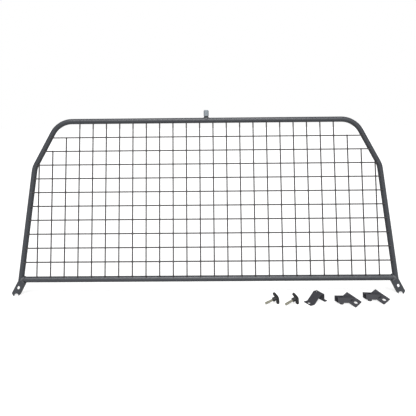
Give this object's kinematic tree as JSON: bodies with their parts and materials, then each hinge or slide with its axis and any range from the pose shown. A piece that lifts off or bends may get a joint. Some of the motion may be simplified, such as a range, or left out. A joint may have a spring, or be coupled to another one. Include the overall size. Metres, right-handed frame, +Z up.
{
  "type": "mesh cargo barrier kit",
  "caption": "Free-standing mesh cargo barrier panel: bent tube hoop, welded wire mesh and splayed slotted feet, laid out with its clamp screws and loose fixing brackets.",
  "frame": {"origin": "on the floor, at the middle of the laid-out kit's footprint; the panel's middle plane is 53.75 mm behind it, towards +Y", "axes": "+Z up, +X along the panel's width to the viewer's right, +Y away from the loose fittings, towards the panel's back"},
  "size_m": [1.4194, 0.1311, 0.666],
  "materials": {
    "graphite": "satin powder coat",
    "wire": "satin powder coat",
    "weld": "painted weld bead",
    "cap": "matt moulded",
    "bracket": "satin powder coat",
    "handle": "moulded, semi-matt",
    "zinc": "zinc plated"
  },
  "bodies": {
    "panel": {"frame_hoop": "graphite", "bottom_rail": "graphite", "vertical_wires": "wire", "horizontal_wires": "wire", "mesh_welds": "weld", "rail_welds": "weld", "left_foot": "graphite", "right_foot": "graphite", "left_foot_weld": "weld", "right_foot_weld": "weld", "top_post": "graphite", "post_weld": "weld", "post_cap": "cap"},
    "washer_1": {"screw_washer_1": "handle"},
    "screw_1": {"screw_handle_1": "handle", "screw_stud_1": "zinc"},
    "washer_2": {"screw_washer_2": "handle"},
    "screw_2": {"screw_handle_2": "handle", "screw_stud_2": "zinc"},
    "top_bracket": {"top_bracket": "bracket"},
    "lower_bracket_1": {"bracket_plate_1": "bracket", "bracket_tube_1": "bracket", "bracket_nut_1": "bracket", "bracket_weld_1": "weld"},
    "lower_bracket_2": {"bracket_plate_2": "bracket", "bracket_tube_2": "bracket", "bracket_nut_2": "bracket", "bracket_weld_2": "weld"}
  },
  "joints": [
    {"name": "screw_1_travel", "type": "slide", "parent": "panel", "child": "washer_1", "axis": [0.9196, 0.0967, 0.3807], "range_m": [0, 0.01625]},
    {"name": "screw_1_turn", "type": "hinge", "parent": "washer_1", "child": "screw_1", "pos_m": [0.1965, -0.03625, 0.00332], "axis": [0.9196, 0.0967, 0.3807], "range_deg": [0, 4680]},
    {"name": "screw_2_travel", "type": "slide", "parent": "panel", "child": "washer_2", "axis": [0.8972, 0.2237, 0.3807], "range_m": [0, 0.01625]},
    {"name": "screw_2_turn", "type": "hinge", "parent": "washer_2", "child": "screw_2", "pos_m": [0.2633, -0.04475, 0.00332], "axis": [0.8972, 0.2237, 0.3807], "range_deg": [0, 4680]},
    {"name": "top_bracket_lift", "type": "slide", "parent": "panel", "child": "top_bracket", "axis": [0, -0.5, 0.866], "range_m": [0, 0.12]},
    {"name": "lower_bracket_1_lift", "type": "slide", "parent": "panel", "child": "lower_bracket_1", "axis": [0, -0.5, 0.866], "range_m": [0, 0.12]},
    {"name": "lower_bracket_2_lift", "type": "slide", "parent": "panel", "child": "lower_bracket_2", "axis": [0, -0.5, 0.866], "range_m": [0, 0.12]}
  ],
  "couplings": [
    {"joint": "screw_1_travel", "follows": "screw_1_turn", "m_per_rad": 0.00019894},
    {"joint": "screw_2_travel", "follows": "screw_2_turn", "m_per_rad": 0.00019894}
  ]
}
